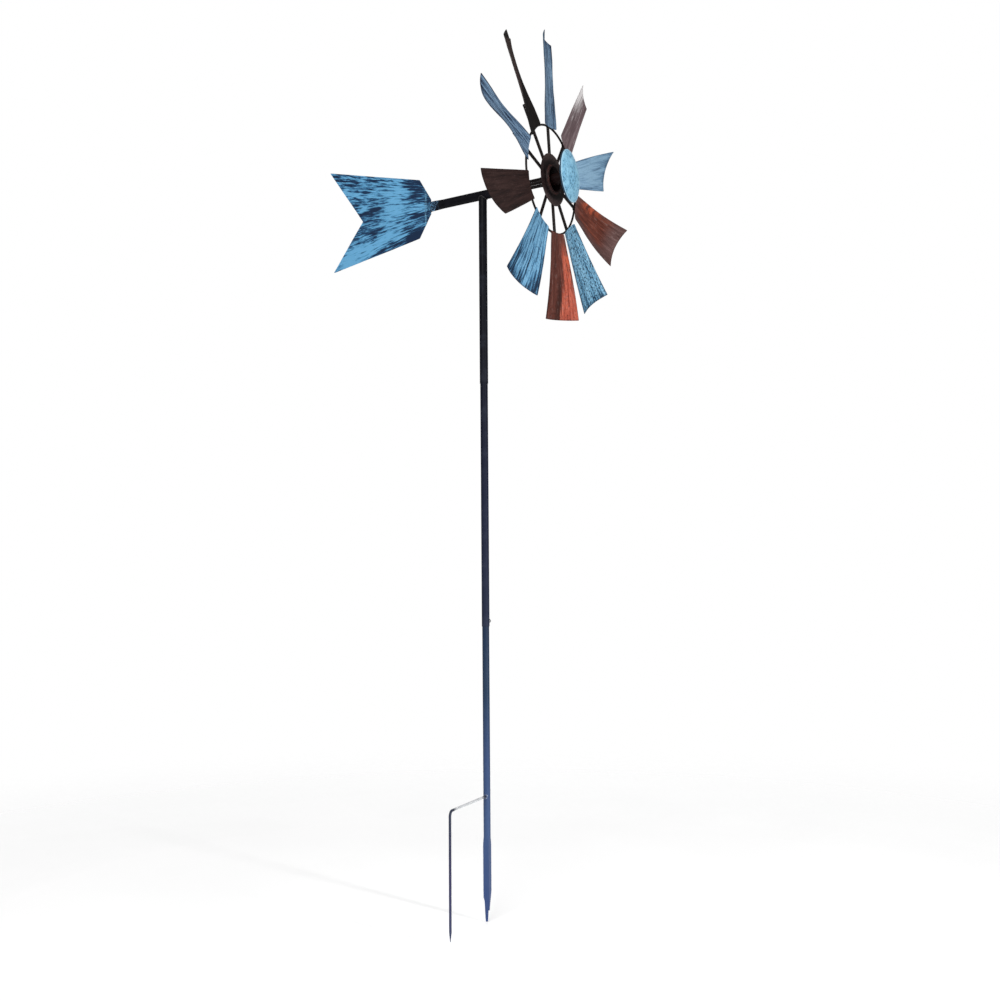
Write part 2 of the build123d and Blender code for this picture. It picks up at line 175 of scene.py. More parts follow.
class Graph:
    """A material's node tree, whose colour and normal build up coat by coat.
    Colours are given as 8-bit display values and the depth of a bump in millimetres."""

    def __init__(self, name):
        self.material = bpy.data.materials.new(name)
        self.material.use_nodes = True
        self.tree = self.material.node_tree
        self.shader = self.tree.nodes["Principled BSDF"]
        self.colour = None
        self.normal = None

    def feed(self, inputs, values):
        """Link each named or numbered input to a socket, or set its own value."""
        for key, value in values.items():
            if isinstance(value, bpy.types.NodeSocket):
                self.tree.links.new(value, inputs[key])
            else:
                inputs[key].default_value = srgb(*value) if inputs[key].type == "RGBA" else value

    def add(self, kind, values=None, **settings):
        """Add a node, set it up, feed its inputs and give its outputs."""
        made = self.tree.nodes.new(kind)
        for key, value in settings.items():
            setattr(made, key, value)
        self.feed(made.inputs, values or {})
        return made.outputs

    @cached_property
    def place(self):
        """Object coordinates, in metres."""
        return self.add("ShaderNodeTexCoord")["Object"]

    @cached_property
    def strokes(self):
        """The coordinates that a finer mesh piece brings for its paint, in metres."""
        return self.add("ShaderNodeUVMap", uv_map="strokes")["UV"]

    def stretch(self, vector, scale, offset=(0, 0, 0)):
        return self.add("ShaderNodeMapping", {"Vector": vector, "Scale": scale, "Location": offset})["Vector"]

    def split(self, vector):
        return self.add("ShaderNodeSeparateXYZ", {0: vector})

    def join(self, x, y, z=0):
        return self.add("ShaderNodeCombineXYZ", {0: x, 1: y, 2: z})[0]

    def noise(self, scale, detail, roughness, distortion=0, at=None):
        """Noise at the object coordinates, or at others."""
        texture = {"Vector": self.place if at is None else at, "Scale": scale, "Detail": detail}
        texture |= {"Roughness": roughness, "Distortion": distortion}
        return self.add("ShaderNodeTexNoise", texture)["Fac"]

    def ease(self, value, low, high, out_low=0, out_high=1):
        """Smooth map of low..high onto out_low..out_high, held beyond the ends."""
        limits = {"Value": value, "From Min": low, "From Max": high, "To Min": out_low, "To Max": out_high}
        return self.add("ShaderNodeMapRange", limits, interpolation_type="SMOOTHSTEP")["Result"]

    def span(self, value, low, high):
        """Straight map of low..high onto 0..1."""
        limits = {"Value": value, "From Min": low, "From Max": high}
        return self.add("ShaderNodeMapRange", limits, clamp=True)["Result"]

    def math(self, operation, first, second=0):
        return self.add("ShaderNodeMath", {0: first, 1: second}, operation=operation)[0]

    def both(self, first, *others):
        """Product of values."""
        for other in others:
            first = self.math("MULTIPLY", first, other)
        return first

    def total(self, *terms):
        """Sum of value times weight pairs."""
        result = None
        for value, weight in terms:
            part = self.both(value, weight)
            result = part if result is None else self.math("ADD", result, part)
        return result

    def less(self, value, amount):
        return self.math("SUBTRACT", value, amount)

    def distance(self, across, up):
        """Distance from the origin of two coordinates."""
        squares = [(self.math("POWER", part, 2), 1) for part in (across, up)]
        return self.math("SQRT", self.total(*squares))

    def mix(self, share, first, second):
        return self.add("ShaderNodeMix", {0: share, 6: first, 7: second}, data_type="RGBA")[2]

    def ramp(self, share, *stops):
        """Colours along a value: each stop is a position and a colour."""
        made = self.tree.nodes.new("ShaderNodeValToRGB")
        self.feed(made.inputs, {0: share})
        elements = made.color_ramp.elements
        elements[0].position, elements[1].position = stops[0][0], stops[-1][0]
        elements[0].color, elements[1].color = srgb(*stops[0][1]), srgb(*stops[-1][1])
        for position, colour in stops[1:-1]:
            elements.new(position).color = srgb(*colour)
        return made.outputs["Color"]

    def coat(self, tone, mask, strength=1):
        """Lay a tone over the colour so far."""
        self.colour = self.mix(self.both(mask, strength), self.colour, tone)

    def bump(self, height, depth, strength):
        """Add relief to the normal so far."""
        relief = {"Height": height, "Distance": depth * MM, "Strength": strength}
        if self.normal is not None:
            relief["Normal"] = self.normal
        self.normal = self.add("ShaderNodeBump", relief)["Normal"]

    def finish(self, roughness, specular=0.5, metallic=0):
        surface = {"Base Color": self.colour, "Roughness": roughness}
        surface |= {"Metallic": metallic, "Specular IOR Level": specular}
        if self.normal is not None:
            surface["Normal"] = self.normal
        self.feed(self.shader.inputs, surface)
        return self.material


def tube_enamel(name, stops, low, high, roughness, specular):
    """Sprayed enamel whose colour changes with height, the dark enamel lightened towards the ground by
    painted light: orange peel, drawing marks, dust and rubbed places.
    """
    g = Graph(name)
    # painted light: the ramp over height stands in for the studio light falling brighter on the lower mast
    g.colour = g.ramp(g.span(g.split(g.place)[2], low, high), *stops)
    cloud = g.noise(42, 5, 0.62)
    nibs = g.noise(760, 4, 0.7)
    g.coat((96, 104, 122), g.ease(cloud, 0.45, 0.75, 0, 0.10))
    rubbed = g.both(g.ease(nibs, 0.62, 0.70), g.ease(cloud, 0.52, 0.68))
    g.coat((112, 118, 132), rubbed, 0.35)
    g.bump(g.noise(480, 2, 0.5), 0.09, 0.55)
    g.bump(g.noise(900, 3, 0.6, at=g.stretch(g.place, (1, 1, 0.03))), 0.04, 0.4)
    rough = g.total((g.ease(cloud, 0.3, 0.8), 0.12), (rubbed, 0.2), (1, roughness - 0.05))
    return g.finish(rough, specular)


def rod_enamel(name, dark, worn, bare, roughness=0.42, specular=0.22):
    """Thin brushed enamel on rod and tube, worn lighter in small patches."""
    g = Graph(name)
    cloud = g.noise(60, 6, 0.65, 0.3)
    grain = g.noise(420, 5, 0.7)
    g.colour = g.ramp(cloud, (0.35, dark), (0.72, worn))
    g.coat(bare, g.both(g.ease(grain, 0.62, 0.68), g.ease(cloud, 0.48, 0.66)), 0.75)
    g.bump(grain, 0.12, 0.6)
    return g.finish(g.total((g.ease(cloud, 0.3, 0.75), 0.16), (1, roughness - 0.06)), specular)


def prong_enamel():
    """Slate enamel on the prong, lighter towards the ground as painted light, and washed out nearly white
    along the step bar as a painted highlight.
    """
    g = Graph("prong_enamel")
    _, y, z = g.split(g.place)
    cloud = g.noise(60, 5, 0.62)
    grain = g.noise(520, 5, 0.72)
    # painted light: lighter towards the ground, as on the stake
    height = g.span(z, -0.19, 0.01)
    g.colour = g.ramp(height, (0, (60, 66, 96)), (0.5, (52, 50, 84)), (1, (50, 56, 72)))
    g.coat((30, 32, 48), g.ease(cloud, 0.45, 0.75, 0, 0.4))
    # painted highlight: this mask lays a glare along the step bar, pale grey broken up by grain
    rubbed = g.both(g.ease(y, -0.126, -0.112), g.ease(y, -0.012, -0.024), g.ease(z, 0, 0.004))
    g.coat(g.mix(g.ease(grain, 0.44, 0.60), (222, 224, 226), (168, 170, 174)), rubbed)
    g.bump(grain, 0.08, 0.5)
    return g.finish(g.ease(cloud, 0.3, 0.8, 0.40, 0.52), 0.2)


def boom_enamel():
    """Black boom enamel, with blue specks of tail paint towards the rear weld."""
    g = Graph("boom_black_enamel")
    x = g.split(g.place)[0]
    cloud = g.noise(48, 5, 0.62)
    grain = g.noise(330, 5, 0.72)
    g.colour = g.ramp(cloud, (0.35, (9, 9, 13)), (0.75, (24, 23, 31)))
    near_tail = g.ease(x, -0.084, -0.094)
    g.coat((22, 34, 56), g.both(g.ease(grain, 0.44, 0.50), near_tail), 0.9)
    g.coat((116, 156, 190), g.both(g.ease(grain, 0.545, 0.575), near_tail), 0.9)
    g.coat((24, 15, 14), g.ease(x, 0.060, 0.095), 0.8)
    g.bump(g.noise(480, 2, 0.5), 0.09, 0.55)
    return g.finish(g.ease(cloud, 0.3, 0.8, 0.46, 0.56), 0.08)


def weld_paint(name, dark, light, share):
    """Painted weld: lumpy, with the second colour caught on its high places."""
    g = Graph(name)
    grain = g.noise(640, 5, 0.7)
    g.colour = g.mix(g.ease(g.noise(260, 5, 0.65), 0.60 - 0.2 * share, 0.68 - 0.2 * share), dark, light)
    g.bump(grain, 0.3, 0.8)
    return g.finish(g.ease(grain, 0.3, 0.7, 0.32, 0.52), 0.3)


class BladeGraph(Graph):
    """Coordinates of a blade: across and along in metres, share from root to tip, and side from -1 to 1."""

    def __init__(self, name, number):
        super().__init__(name)
        self.across, along, _ = self.split(self.strokes)
        width, _, _, _, reach, _ = blade_form(number)
        self.share = self.span(along, BLADE_ROOT_RADIUS, BLADE_TIP_RADIUS + reach)
        half = self.total((self.share, (width - BLADE_ROOT_WIDTH) / 2), (1, BLADE_ROOT_WIDTH / 2))
        self.side = self.math("DIVIDE", self.across, half)
        self.offset = (number * 3.17, number * 5.31, number * 1.7)
        self.fan = self.join(self.both(self.side, 0.030), along)

    def drag(self, across, along, detail=6, roughness=0.6, distortion=0.3):
        """Noise drawn out along the blade, fanning with its sides."""
        at = self.stretch(self.fan, (across, along, 1), self.offset)
        return self.noise(1, detail, roughness, distortion, at)

    def grain(self, scale, roughness=0.7, detail=5, distortion=0, squeeze=1):
        """Noise that lies evenly on the sheet."""
        at = self.stretch(self.strokes, (1, squeeze, 1), self.offset)
        return self.noise(scale, detail, roughness, distortion, at)

    def dots(self, grit):
        """Speckle: the higher grit is, the fewer there are."""
        return self.ease(self.grain(360, 0.72, 5, 0.4, 0.6), grit, grit + 0.04)

    def rim(self, reach):
        """1 at the blade's edges, falling to 0 a short way in."""
        sides = self.ease(self.math("ABSOLUTE", self.side), 1 - reach, 1)
        return self.math("MAXIMUM", sides, self.ease(self.share, 1 - reach / 2, 1))


def blue_blade(name, number, palette, cover, streak, speckle, shaded_tip, shaded_side):
    """Light blue dragged over navy. palette runs dark to light; the numbers say how much there is of
    blue cover, streaks, speckle, and painted shade on the tip and on one side (negative: anticlockwise edge)."""
    g = BladeGraph(name, number)
    fine = g.drag(440, 20)
    hair = g.drag(1200, 46, 5, 0.65, 0.1)
    broad = g.drag(110, 9, 4, 0.55, 0.6)
    plain = 0.45 * (1 - streak) + 0.02
    field = g.total((fine, 0.55 * streak), (hair, 0.35 * streak), (broad, 0.30), (1, plain))
    # painted shade: the tip and one side darkened where each curled blade turns from the light
    flank = math.copysign(1, shaded_side)
    side = g.both(g.ease(g.side, 0.1 * flank, 1.1 * flank), g.ease(g.share, 0.1, 0.9, 0.4, 1))
    shade = g.total((g.ease(g.share, 0.45, 1.05), 0.10 * shaded_tip), (side, 0.10 * abs(shaded_side)))
    field = g.less(field, g.total((shade, 1), (g.rim(0.20), 0.04)))
    middle = 0.66 - 0.14 * cover
    paint = g.ease(field, middle - 0.085, middle + 0.085)
    g.colour = g.ramp(paint, *zip((0, 0.34, 0.74, 1), palette))
    dots = g.dots(0.61 - 0.10 * speckle)
    g.coat(palette[0], dots, min(0.9, 0.35 + 0.5 * speckle))
    chalk = g.ease(g.grain(330, 0.6), 0.60, 0.68, 0, 0.30)
    g.coat([int(between(value, 255, 0.3)) for value in palette[3]], chalk)
    g.coat(palette[0], g.rim(0.05), 0.6)
    g.bump(hair, 0.14, 0.55)
    g.bump(paint, 0.10, 0.5)
    g.bump(dots, 0.06, 0.5)
    return g.finish(g.ease(paint, 0, 1, 0.46, 0.62), 0.16)


def brown_blade(name, number, palette, reds, patch, speckle, chalk_share, glare_corner=0):
    """Brown rubbed with grey mauve. reds are the tones of a worn red patch, dark to light; patch gives its
    side, its half width at the root and at the tip, and its two ends as shares of the length."""
    g = BladeGraph(name, number)
    fine = g.drag(280, 18)
    hair = g.drag(820, 42, 5, 0.65, 0.1)
    broad = g.drag(90, 8, 4, 0.55, 0.6)
    mottle = g.total((fine, 0.45), (broad, 0.35), (hair, 0.20))
    g.colour = g.ramp(mottle, *zip((0.36, 0.50, 0.64), palette))
    if reds:
        side, root_half, tip_half, start, end = patch
        half = g.total((g.share, tip_half - root_half), (1, root_half))
        reach = g.less(half, g.math("ABSOLUTE", g.less(g.side, side)))
        wander = g.total((g.less(broad, 0.5), 0.9), (g.less(fine, 0.5), 1.1))
        along = g.both(g.ease(g.share, start - 0.10, start + 0.14), g.ease(g.share, end + 0.16, end - 0.10))
        worn = g.both(g.ease(g.math("ADD", reach, wander), -0.08, 0.26), along)
        g.coat(g.ramp(g.total((fine, 0.6), (hair, 0.4)), *zip((0.36, 0.48, 0.62), reds)), worn)
        border = g.both(g.ease(reach, -0.34, -0.12), g.ease(reach, 0.16, -0.02))
        smears = g.both(border, g.ease(g.share, 0.35, 0.75), g.ease(fine, 0.44, 0.54))
        g.coat(palette[0], smears, 0.75)
        # painted highlight: brighter orange towards the anticlockwise edge, where the curled sheet meets the
        # light
        edge_highlight = g.both(g.ease(g.share, 0.05, 0.24), g.ease(g.share, 0.62, 0.30))
        edge_highlight = g.both(g.ease(g.side, -0.30, -0.85), edge_highlight, along, g.ease(g.grain(90, 0.6), 0.42, 0.60))
        g.coat((192, 92, 62), edge_highlight, 0.75)
    dots = g.both(g.dots(0.62 - 0.10 * speckle), g.ease(g.share, 0.1, 0.95, 0.3, 1))
    g.coat(palette[0], dots, min(0.85, 0.3 + 0.5 * speckle))
    chalk = g.both(g.ease(hair, 0.56, 0.64), g.ease(g.grain(120, 0.6), 0.44, 0.62))
    g.coat((156, 140, 136), chalk, chalk_share)
    # painted highlight: a glare washing the anticlockwise corner towards the tip out to near white, its edge
    # broken by the brush noise
    if glare_corner:
        corner = g.both(g.ease(g.share, 0.30, 1), g.ease(g.side, 0.9, -0.9))
        brushed = g.total((corner, 1), (g.less(hair, 0.5), 1.6), (g.less(fine, 0.5), 1.2))
        g.coat((236, 232, 232), g.ease(brushed, 0.10, 0.90), glare_corner)
    g.coat(palette[0], g.rim(0.05), 0.5)
    g.bump(hair, 0.14, 0.55)
    g.bump(fine, 0.10, 0.5)
    return g.finish(g.ease(fine, 0.3, 0.7, 0.46, 0.62), 0.14)


def blade_back(name, number, dark, light):
    """The back of a blade: one sprayed coat, thin and dusty in places."""
    g = BladeGraph(name, number)
    cloud = g.grain(40, 0.64, 6, 0.4)
    grain = g.grain(520)
    g.colour = g.ramp(g.total((cloud, 0.6), (g.drag(420, 26), 0.4)), (0.34, dark), (0.66, light))
    g.coat((30, 28, 32), g.ease(grain, 0.60, 0.68, 0, 0.55))
    near_spoke = g.both(g.ease(g.math("ABSOLUTE", g.across), 0.007, 0.002), g.ease(g.share, 0.42, 0.34))
    g.coat((26, 20, 20), near_spoke, 0.6)
    g.bump(grain, 0.10, 0.5)
    return g.finish(g.ease(cloud, 0.3, 0.7, 0.42, 0.58), 0.25)


def tail_paint(name, seed, cover):
    """Sky blue dragged over navy along the tail: thin at the front, round the notch and at its edges."""
    g = Graph(name)
    x, _, z = g.split(g.place)
    spread = g.math("MAXIMUM", g.total((g.less(TAIL_SHOULDER, x), 7), (1, 1)), 0.9)
    fan = g.math("DIVIDE", g.less(z, BOOM_HEIGHT), spread)
    flow = g.join(x, fan, seed)
    fine = g.noise(1, 6, 0.62, 0.4, g.stretch(flow, (34, 420, 1)))
    hair = g.noise(1, 5, 0.65, 0.15, g.stretch(flow, (90, 1300, 1)))
    broad = g.noise(1, 4, 0.55, 0.8, g.stretch(flow, (13, 95, 1), (0.4, 0.3, 0)))
    front = g.both(g.ease(x, -0.176, -0.142), g.ease(g.math("ABSOLUTE", fan), 0.002, 0.028, 0.55, 1))
    notch = g.both(g.ease(x, -0.192, -0.222), g.ease(fan, 0.030, 0.015), g.ease(fan, -0.028, -0.012))
    low = g.both(g.ease(fan, -0.030, -0.043), g.ease(x, -0.262, -0.205))
    top = g.both(g.ease(fan, 0.026, 0.040), g.ease(x, -0.170, -0.240, 0.35, 1))
    bare = g.total((front, 0.082), (notch, 0.076), (low, 0.085), (top, 0.055))
    field = g.less(g.total((fine, 0.54), (broad, 0.26), (hair, 0.20)), bare)
    middle = 0.540 - 0.09 * cover
    paint = g.ease(field, middle - 0.060, middle + 0.065)
    g.colour = g.ramp(paint, *zip((0, 0.30, 0.66, 1), TAIL_BLUES))
    g.coat((140, 196, 228), g.both(g.ease(hair, 0.56, 0.66), g.ease(paint, 0.6, 1, 0, 0.35)))
    grain = g.noise(420, 5, 0.72)
    behind, ahead = TAIL_CREASE - 0.6 * MM, TAIL_CREASE + 3 * MM
    crease = g.both(g.ease(x, TAIL_CREASE - 3 * MM, behind), g.ease(x, ahead, TAIL_CREASE))
    g.coat((140, 200, 232), g.both(crease, g.ease(grain, 0.47, 0.55)), 0.6)
    wedge = g.both(g.ease(x, TAIL_CREASE, TAIL_CREASE + 4 * MM), g.ease(grain, 0.58, 0.46))
    g.coat((22, 42, 68), wedge, 0.8)
    g.coat((20, 34, 54), g.ease(g.noise(700, 4, 0.7), 0.60, 0.66, 0, 0.4))
    g.bump(hair, 0.16, 0.6)
    g.bump(paint, 0.12, 0.6)
    return g.finish(g.ease(paint, 0, 1, 0.44, 0.58), 0.16)


def cap_paint():
    """Light blue sponged over a darker blue outside, and painted shade darkening the turned-back skirt to
    dark blue.
    """
    g = Graph("cap_sponged_blue")
    out, forward, _ = g.split(g.strokes)
    cloud = g.noise(70, 6, 0.66, 0.5)
    grain = g.noise(250, 5, 0.72, 0.3)
    g.colour = g.ramp(cloud, (0.3, (98, 152, 184)), (0.5, (130, 182, 210)), (0.72, (152, 202, 222)))
    g.coat((52, 100, 128), g.both(g.ease(grain, 0.52, 0.58), g.ease(cloud, 0.60, 0.42, 0.25, 1)), 0.85)
    g.coat((170, 214, 234), g.ease(g.noise(520, 4, 0.7), 0.60, 0.68, 0, 0.5))
    g.coat((176, 212, 230), g.ease(out, CAP_RADIUS - 2.2 * MM, CAP_RADIUS - 0.8 * MM), 0.55)
    # painted shade: the skirt behind the rim darkened to dark blue
    g.coat((20, 46, 66), g.ease(forward, 0.2 * MM, -0.3 * MM), 0.94)
    g.bump(cloud, 0.25, 0.5)
    g.bump(grain, 0.12, 0.6)
    return g.finish(g.ease(cloud, 0.3, 0.7, 0.46, 0.58), 0.16)


def hub_paint():
    """Dark brown, with painted highlights lightening the flange's top and bottom and the ridge, and painted
    shade darkening the sunken middle to maroon.
    """
    g = Graph("hub_brown_painted_light")
    _, y, z = g.split(g.place)
    cloud = g.noise(90, 6, 0.65, 0.4)
    grain = g.noise(420, 5, 0.72)
    up = g.less(z, BOOM_HEIGHT)
    out = g.distance(y, up)
    g.colour = g.ramp(cloud, (0.3, (24, 16, 16)), (0.55, (42, 30, 29)), (0.78, (66, 52, 50)))
    # painted highlight: the flange lighter at its top and bottom, broken up by grain
    ends = g.both(g.ease(g.math("ABSOLUTE", up), 0.018, 0.036), g.ease(out, 0.029, 0.034))
    g.coat((92, 76, 74), g.both(ends, g.ease(grain, 0.40, 0.60, 0.25, 0.85)))
    # painted highlight: the ridge's lit arc
    ridge = g.both(g.ease(out, 0.0203, 0.0214), g.ease(out, 0.0252, 0.0242))
    g.coat((104, 62, 56), g.both(ridge, g.ease(grain, 0.42, 0.60, 0, 0.6)))
    # painted shade: the sunken middle darkened to maroon
    maroon = g.ramp(cloud, (0.35, (20, 6, 7)), (0.7, (44, 13, 14)))
    g.coat(maroon, g.ease(out, 0.0208, 0.0192))
    g.bump(grain, 0.14, 0.6)
    return g.finish(g.ease(cloud, 0.3, 0.7, 0.42, 0.56), 0.16)


def bright_steel(name, tone, roughness):
    """Zinc-plated or polished steel with fine turning marks."""
    g = Graph(name)
    turning = g.noise(1, 4, 0.6, at=g.stretch(g.place, (900, 60, 60)))
    g.colour = g.mix(g.ease(g.noise(140, 4, 0.6), 0.35, 0.7, 0, 0.4), tone, (146, 142, 132))
    g.bump(turning, 0.04, 0.5)
    return g.finish(g.total((g.ease(turning, 0.3, 0.7), 0.12), (1, roughness - 0.05)), metallic=1)


def moulded_nylon():
    """Black nylon with a faint mould texture."""
    g = Graph("moulded_black_nylon")
    cloud = g.noise(120, 4, 0.6)
    g.colour = g.ramp(cloud, (0.3, (16, 16, 17)), (0.7, (26, 25, 26)))
    g.bump(g.noise(900, 3, 0.6), 0.05, 0.5)
    return g.finish(g.ease(cloud, 0.3, 0.7, 0.42, 0.5))


TAIL_BLUES = ((24, 44, 72), (46, 88, 126), (80, 142, 184), (106, 172, 214))
SKY_BLUES = ((24, 42, 64), (52, 92, 124), (90, 142, 178), (116, 166, 198))
DEEP_BLUES = ((20, 34, 50), (56, 98, 128), (104, 156, 188), (130, 178, 206))
# PALE_BLUES is partly the blade's own paler paint and partly painted light, for blade 5 facing the lamps
PALE_BLUES = ((52, 80, 104), (90, 122, 150), (118, 154, 184), (142, 178, 204))
DUSKY_BLUES = ((26, 36, 54), (54, 72, 96), (88, 114, 142), (120, 148, 174))
# BLACKS and BROWNS: the blades' one brown paint darkened as painted shade, for blades 2 and 10
BLACKS = ((10, 8, 8), (19, 15, 14), (30, 23, 22))
BROWNS = ((22, 14, 13), (44, 29, 27), (62, 44, 41))
MAUVES = ((74, 58, 61), (108, 90, 93), (140, 126, 128))
MAUVE_BROWNS = ((58, 40, 38), (96, 70, 67), (124, 98, 95))
RED_BROWNS = ((46, 26, 22), (92, 50, 42), (116, 74, 64))
# EMBERS: the worn red patch, partly brightened as painted light, for blade 8
EMBERS = ((108, 44, 34), (158, 70, 52), (198, 106, 84))
CLAYS = ((60, 28, 22), (90, 46, 36), (122, 66, 52))

# Blue blades: palette, cover, streak, speckle, shaded tip, shaded side
BLUE_BLADES = {
    1: (DUSKY_BLUES, 0.46, 0.9, 0.50, 0.1, -0.3),
    3: (DUSKY_BLUES, 0.56, 1.1, 0.60, 0.1, -0.3),
    5: (PALE_BLUES, 0.74, 0.5, 0.25, 0.3, 0.0),
    7: (DEEP_BLUES, 0.60, 0.7, 1.0, 0.10, 0.2),
    9: (SKY_BLUES, 0.60, 1.05, 0.45, 0.5, 0.4),
}

# Brown blades: palette, reds, patch (side, half width at root and tip, ends), speckle, chalk, painted glare
# corner
BROWN_BLADES = {
    2: (BLACKS, None, None, 0.1, 0.05),
    4: (MAUVES, None, None, 0.2, 0.30, 0.95),
    6: (MAUVE_BROWNS, CLAYS, (-0.22, 0.85, 1.00, 0.04, 0.74), 0.35, 0.35),
    8: (RED_BROWNS, EMBERS, (-0.60, 0.05, 0.70, 0.14, 1.4), 0.65, 0.5),
    10: (BROWNS, None, None, 0.15, 0.06),
}


# --- mesh helpers ---


def add_object(name, data):
    """Put an object with this data in the scene."""
    made = bpy.data.objects.new(name, data)
    bpy.context.scene.collection.objects.link(made)
    return made


def add_piece(name, points, faces, body, slot, materials, uvs=None, face_materials=None):
    """Make a closed mesh piece that rides on a CAD body. uvs holds one (u, v) per point, in metres."""
    mesh = bpy.data.meshes.new(name)
    mesh.from_pydata([tuple(point) for point in points], [], faces)
    if uvs is not None:
        layer = mesh.uv_layers.new(name="strokes")
        for loop in mesh.loops:
            layer.data[loop.index].uv = uvs[loop.vertex_index]
    for material in materials:
        mesh.materials.append(material)
    if face_materials is not None:
        mesh.polygons.foreach_set("material_index", face_materials)
    mesh.polygons.foreach_set("use_smooth", [True] * len(mesh.polygons))
    mesh.update()
    piece = add_object(name, mesh)
    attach(piece, body)
    outward(piece)
    return piece


def soften(piece, width, angle):
    """Round the piece's sharp edges."""
    bevel = piece.modifiers.new("soft_edges", "BEVEL")
    bevel.width = width
    bevel.segments = 2
    bevel.limit_method = "ANGLE"
    bevel.angle_limit = math.radians(angle)
    bevel.harden_normals = True


def loft(rings, closed=False):
    """Points and faces through rings of equal length: a closed loop, or with a fan of faces over each end."""
    count, around = len(rings), len(rings[0])
    points = [point for ring in rings for point in ring]
    faces = []
    for ring in range(count if closed else count - 1):
        first, second = ring * around, (ring + 1) % count * around
        for k in range(around):
            after = (k + 1) % around
            faces.append((first + k, first + after, second + after, second + k))
    for first, flip in () if closed else ((0, True), (len(points) - around, False)):
        points.append(sum((points[first + k] for k in range(around)), Vector()) / around)
        for k in range(around):
            face = (first + k, first + (k + 1) % around, len(points) - 1)
            faces.append(tuple(reversed(face)) if flip else face)
    return points, faces


def outward(piece):
    """Make every face of a closed piece look outwards."""
    work = bmesh.new()
    work.from_mesh(piece.data)
    bmesh.ops.recalc_face_normals(work, faces=work.faces)
    work.to_mesh(piece.data)
    work.free()


def turns(around):
    """Angles of evenly spaced places round a circle."""
    return [2 * math.pi * k / around for k in range(around)]


def path_frames(path, closed):
    """Side and up directions at each point of a path."""
    frames = []
    side = None
    for k in range(len(path)):
        before = path[k - 1] if closed or k > 0 else path[k]
        after = path[(k + 1) % len(path)] if closed or k < len(path) - 1 else path[k]
        along = (after - before).normalized()
        if side is None:
            side = along.orthogonal().normalized()
        side = (side - along * side.dot(along)).normalized()
        frames.append((side, along.cross(side)))
    return frames


def weld_bead(name, path, radius, home, closed=False, seed=0):
    """Lumpy bead along a path: ripples where the puddle froze, and round ends.
    home gives its body, a slot that is not used, and its material."""
    body, slot, material = home
    ripple = radius * 0.55
    length = 0.0
    rings = []
    frames = path_frames(path, closed)
    for k, centre in enumerate(path):
        if k:
            length += (centre - path[k - 1]).length
        wander = noise.noise(centre * 300 + Vector((seed, 0, 0)))
        wave = 1 + 0.10 * math.sin(length / ripple) + 0.30 * wander
        if not closed:
            share = 2 * k / (len(path) - 1) - 1
            wave *= max(0.04, math.sqrt(max(0.0, 1 - share ** 4)))
        ring = []
        for turn in turns(BEAD_SIDES):
            offset = frames[k][0] * math.cos(turn) + frames[k][1] * math.sin(turn)
            lump = 1 + 0.22 * noise.noise((centre + offset * radius) * 700 + Vector((seed, seed, 0)))
            ring.append(centre + offset * radius * wave * lump)
        rings.append(ring)
    add_piece(name, *loft(rings, closed), body, slot, [material])


def straight(first, second, count=16):
    return [first.lerp(second, k / (count - 1)) for k in range(count)]


def paint_cad(nodes, material):
    """Give CAD nodes a finished material."""
    for node in nodes:
        slots = frame["nodes"][node].data.materials
        slots.clear()
        slots.append(material)


# --- wheel ---


def on_wheel(point, angle):
    """Turn a point given beside the wheel's top to its clockwise place, seen from the front."""
    return Matrix.Rotation(-angle, 3, "X") @ Vector(point) + WHEEL_CENTRE


def blade_angle(number):
    return FIRST_BLADE_ANGLE + (number - 1) * BLADE_STEP + math.radians(BLADE_FORMS[number - 1][0])


def blade_form(number):
    """The blade's own form, with its lengths in metres."""
    _, width, pitch, twist, lean, reach, curl = BLADE_FORMS[number - 1]
    return width * MM, pitch, twist, lean * MM, reach * MM, curl * MM


def blade_half_width(number, share):
    """Half of the blade's width, less its rounded corners."""
    half = between(BLADE_ROOT_WIDTH, blade_form(number)[0], share) / 2
    length = BLADE_TIP_RADIUS - BLADE_ROOT_RADIUS
    for gap, corner in (((1 - share) * length, BLADE_TIP_CORNER), (share * length, BLADE_ROOT_CORNER)):
        if gap < corner:
            half -= corner - math.sqrt(corner ** 2 - (corner - gap) ** 2)
    return half


def blade_dent(across, radius, side, seed):
    """How far the hand-bent sheet wanders from its ideal surface."""
    loose = smooth((radius - SPOKE_END) / (BLADE_TIP_RADIUS - SPOKE_END))
    edge = smooth((abs(side) - 0.35) / 0.65)
    large = noise.noise(Vector((across * 22, radius * 15, seed * 3.1)))
    small = noise.noise(Vector((across * 75, radius * 55, seed * 5.7)))
    return large * 1.1 * MM * max(loose, edge * 0.5) + small * 0.25 * MM * max(loose, edge)


def blade_frame(number, share):
    """Middle of the blade's back at a share of its length, with its sideways and forward directions."""
    _, tip_pitch, middle_twist, tip_lean, extra_reach, _ = blade_form(number)
    radius = between(BLADE_ROOT_RADIUS, BLADE_TIP_RADIUS + extra_reach, share)
    steady_pitch = between(BLADE_ROOT_PITCH, tip_pitch, share)
    pitch = math.radians(steady_pitch + middle_twist * math.sin(math.pi * share) ** 2)
    past_spoke = max(0.0, radius - SPOKE_END) / (BLADE_TIP_RADIUS - SPOKE_END)
    seat = SPOKE_PLANE + (SPOKE_RADIUS + WELD_GAP) / math.cos(pitch) + tip_lean * past_spoke ** 2
    chord = Vector((-math.sin(pitch), math.cos(pitch), 0))
    forward = Vector((math.cos(pitch), math.sin(pitch), 0))
    return Vector((seat, 0, radius)), chord, forward


def blade_point(number, share, side):
    """Point on the blade's back surface: share runs from root to tip and side from -1 to 1."""
    middle, chord, forward = blade_frame(number, share)
    across = side * blade_half_width(number, share)
    curl_radius = between(BLADE_ROOT_CURL_RADIUS, blade_form(number)[5], share)
    curl = curl_radius - math.sqrt(curl_radius ** 2 - across ** 2)
    lift = curl + blade_dent(across, middle.z, side, number)
    return middle + chord * across + forward * lift, (across, middle.z)


